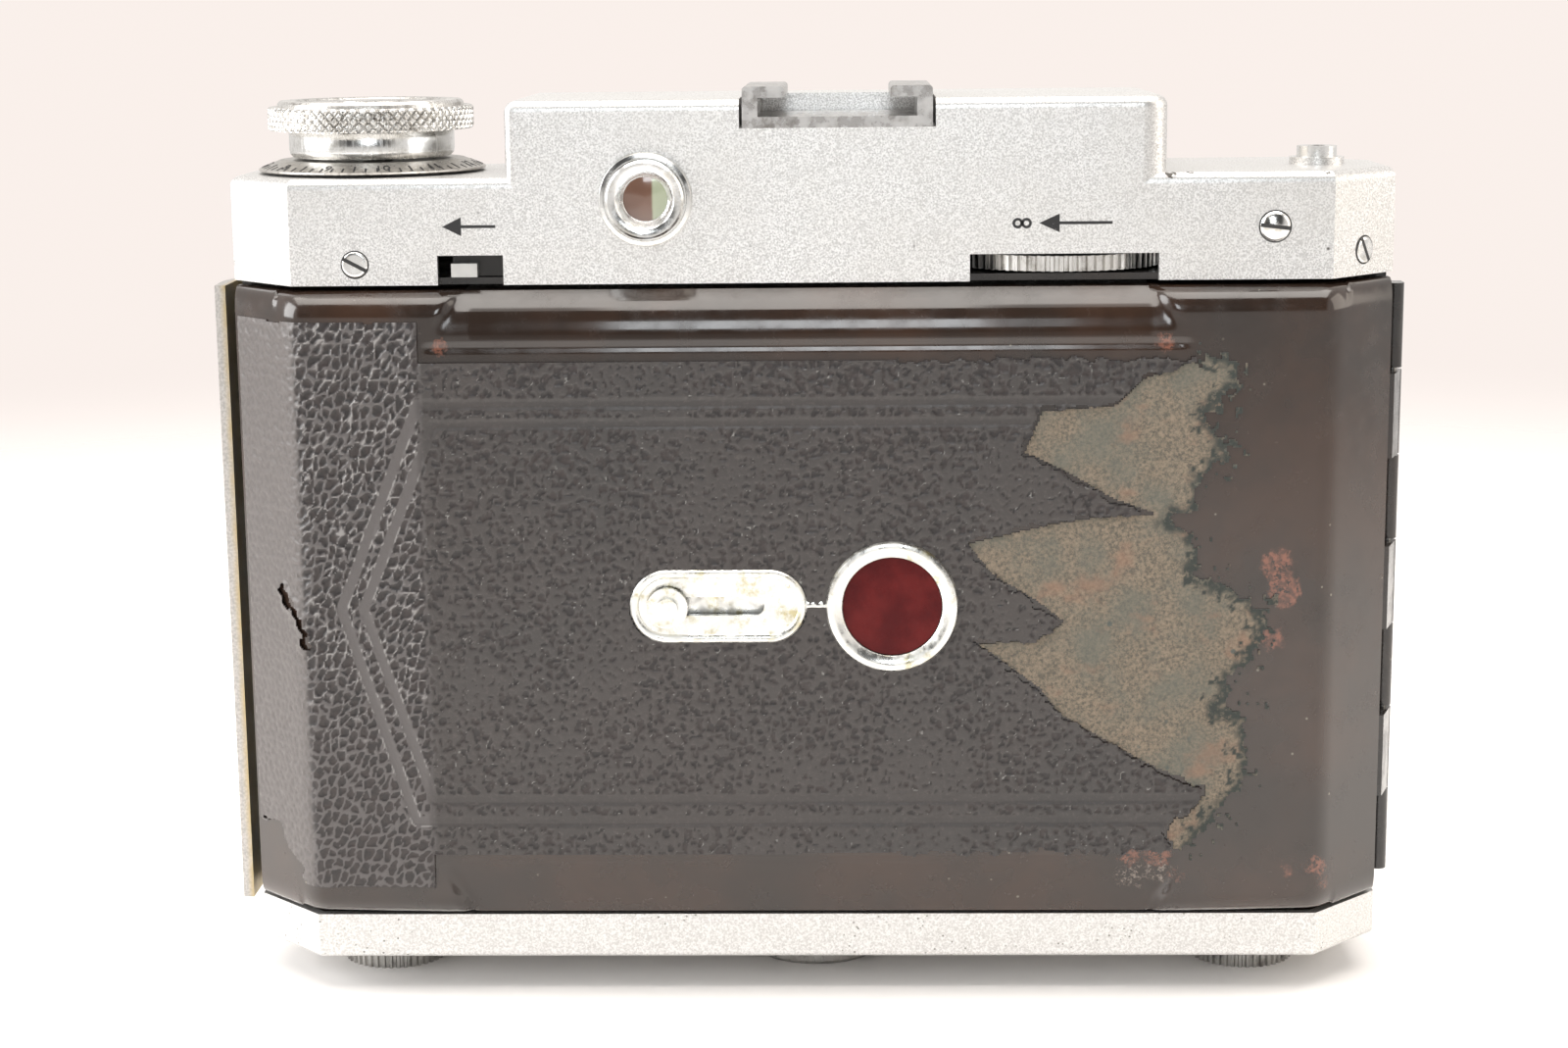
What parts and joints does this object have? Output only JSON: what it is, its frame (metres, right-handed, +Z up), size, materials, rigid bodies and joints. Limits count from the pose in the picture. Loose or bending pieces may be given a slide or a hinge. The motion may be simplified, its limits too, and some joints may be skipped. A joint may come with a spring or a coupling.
{
  "type": "folding rangefinder camera",
  "caption": "Folding rangefinder camera for roll film, closed: swing-open back with a red window, drop bed with bellows, coupled struts and lens, winding knob and focusing wheel.",
  "frame": {"origin": "centre of the tripod bush on the plane the camera stands on", "axes": "+X to the right seen from behind the camera, +Y forward out of the lens, +Z up"},
  "size_m": [0.1449, 0.0545, 0.1109],
  "materials": {
    "satin_chrome": "satin, fine grain, worn",
    "bright_chrome": "polished, dulled",
    "bare_aluminium": "fine blasted",
    "dial_chrome": "satin with black figures",
    "knob_steel": "turned",
    "black_enamel": "gloss brown-black enamel, worn",
    "matt_black": "matt",
    "leatherette": "coarse grain, half gloss",
    "cloth_residue": "bare backing cloth with old glue",
    "red_window": "deep red",
    "coated_glass": "coated",
    "bellows_cloth": "matt pleated",
    "shutter_metal": "satin black and chrome"
  },
  "bodies": {
    "camera_body": {"top_cover": "satin_chrome", "shoe": "bright_chrome", "eyepiece_ring": "bright_chrome", "eyepiece_glass": "coated_glass", "finder_frames": "bright_chrome", "finder_glasses": "coated_glass", "cover_screws": "bright_chrome", "bottom_plate": "bare_aluminium", "tripod_bush": "bare_aluminium", "top_deck": "black_enamel", "bottom_deck": "black_enamel", "chamber_left": "black_enamel", "chamber_right": "black_enamel", "light_box": "black_enamel", "hide_front": "leatherette", "guide_pins": "knob_steel", "focus_post": "matt_black", "release_collar": "satin_chrome", "spool_pivot": "knob_steel", "hinge_pin": "knob_steel", "hinge_body": "black_enamel", "bellows": "bellows_cloth", "bed_pin": "knob_steel"},
    "back_door": {"door_shell": "black_enamel", "hide_door": "leatherette", "hide_end": "leatherette", "glue_patch": "cloth_residue", "window_ring": "bright_chrome", "window_glass": "red_window", "slot_plate": "bright_chrome", "blind_guides": "matt_black", "hinge_door": "black_enamel"},
    "blind": {"window_blind": "bright_chrome"},
    "latch": {"latch_bar": "bare_aluminium"},
    "winder": {"wind_shaft": "knob_steel", "wind_drum": "bright_chrome", "wind_knob": "bright_chrome"},
    "counter": {"counter_dial": "dial_chrome"},
    "focus": {"focus_wheel": "knob_steel"},
    "carriage": {"film_gate": "matt_black", "pressure_plate": "matt_black"},
    "shutter_button": {"release_button": "bright_chrome"},
    "film_release": {"release_nub": "bright_chrome"},
    "spool_left": {"spool_knob_left": "knob_steel"},
    "spool_right": {"spool_knob_right": "knob_steel"},
    "film_roller_left": {"roller_left": "knob_steel"},
    "film_roller_right": {"roller_right": "knob_steel"},
    "front_bed": {"bed": "black_enamel", "bed_hide": "leatherette"},
    "bed_catch": {"bed_button": "bright_chrome"},
    "rear_struts": {"struts_rear": "knob_steel"},
    "front_struts": {"struts_front": "knob_steel"},
    "standard": {"standard_plate": "shutter_metal", "lens_rear": "matt_black", "shutter_case": "shutter_metal", "lens_barrel": "shutter_metal", "lens_glass": "coated_glass"},
    "speeds": {"speed_ring": "shutter_metal"},
    "aperture": {"aperture_lever": "shutter_metal"}
  },
  "joints": [
    {"name": "door_hinge", "type": "hinge", "parent": "camera_body", "child": "back_door", "pos_m": [0.0709, -0.007, 0.049], "axis": [0, 0, 1], "range_deg": [0, 110]},
    {"name": "blind_slide", "type": "slide", "parent": "back_door", "child": "blind", "axis": [1, 0, 0], "range_m": [0, 0.0095]},
    {"name": "latch_hinge", "type": "hinge", "parent": "camera_body", "child": "latch", "pos_m": [-0.071, -0.0003, 0.049], "axis": [0, 0, -1], "range_deg": [0, 20]},
    {"name": "wind_turn", "type": "hinge", "parent": "camera_body", "child": "winder", "pos_m": [-0.0538, -0.003, 0.1], "axis": [0, 0, 1], "continuous": true},
    {"name": "counter_turn", "type": "hinge", "parent": "camera_body", "child": "counter", "pos_m": [-0.0538, -0.003, 0.1], "axis": [0, 0, 1], "continuous": true},
    {"name": "focus_turn", "type": "hinge", "parent": "camera_body", "child": "focus", "pos_m": [0.03, -0.0053, 0.09], "axis": [0, 0, 1], "range_deg": [0, 160.5]},
    {"name": "carriage_slide", "type": "slide", "parent": "camera_body", "child": "carriage", "axis": [0, -1, 0], "range_m": [0, 0.005]},
    {"name": "shutter_press", "type": "slide", "parent": "camera_body", "child": "shutter_button", "axis": [0, 0, -1], "range_m": [0, 0.0013], "stiffness_N_per_m": 300},
    {"name": "film_release_slide", "type": "slide", "parent": "camera_body", "child": "film_release", "axis": [-1, 0, 0], "range_m": [0, 0.0014], "stiffness_N_per_m": 300},
    {"name": "spool_pull_left", "type": "slide", "parent": "camera_body", "child": "spool_left", "axis": [0, 0, -1], "range_m": [0, 0.006]},
    {"name": "spool_pull_right", "type": "slide", "parent": "camera_body", "child": "spool_right", "axis": [0, 0, -1], "range_m": [0, 0.006]},
    {"name": "roller_turn_left", "type": "hinge", "parent": "camera_body", "child": "film_roller_left", "pos_m": [-0.0376, -0.0096, 0.049], "axis": [0, 0, 1], "continuous": true},
    {"name": "roller_turn_right", "type": "hinge", "parent": "camera_body", "child": "film_roller_right", "pos_m": [0.0376, -0.0096, 0.049], "axis": [0, 0, 1], "continuous": true},
    {"name": "bed_hinge", "type": "hinge", "parent": "camera_body", "child": "front_bed", "pos_m": [0, 0.025, 0.0125], "axis": [-1, 0, 0], "range_deg": [0, 90]},
    {"name": "catch_press", "type": "slide", "parent": "camera_body", "child": "bed_catch", "axis": [0, 0, -1], "range_m": [0, 0.0012], "stiffness_N_per_m": 300},
    {"name": "standard_slide", "type": "slide", "parent": "camera_body", "child": "standard", "axis": [0, 1, 0], "range_m": [0, 0.0562], "deforming": ["bellows"]},
    {"name": "rear_strut_turn", "type": "hinge", "parent": "camera_body", "child": "rear_struts", "pos_m": [0, 0.025, 0.0125], "axis": [-1, 0, 0], "range_deg": [0, 90]},
    {"name": "front_strut_turn", "type": "hinge", "parent": "front_bed", "child": "front_struts", "pos_m": [0, 0.0238, 0.0695], "axis": [-1, 0, 0], "range_deg": [0, 16.2]},
    {"name": "speed_turn", "type": "hinge", "parent": "standard", "child": "speeds", "pos_m": [0, 0.012, 0.049], "axis": [0, 1, 0], "range_deg": [0, 150]},
    {"name": "aperture_turn", "type": "hinge", "parent": "standard", "child": "aperture", "pos_m": [0, 0.007, 0.049], "axis": [0, 1, 0], "range_deg": [0, 70]}
  ],
  "couplings": [
    {"joint": "counter_turn", "follows": "wind_turn", "ratio": 0.13},
    {"joint": "focus_turn", "follows": "carriage_slide", "rad_per_m": 560},
    {"joint": "standard_slide", "follows": "bed_hinge", "m_per_rad": 0.03565},
    {"joint": "rear_strut_turn", "follows": "bed_hinge", "ratio": 0.991},
    {"joint": "front_strut_turn", "follows": "bed_hinge", "ratio": 0.1773}
  ]
}
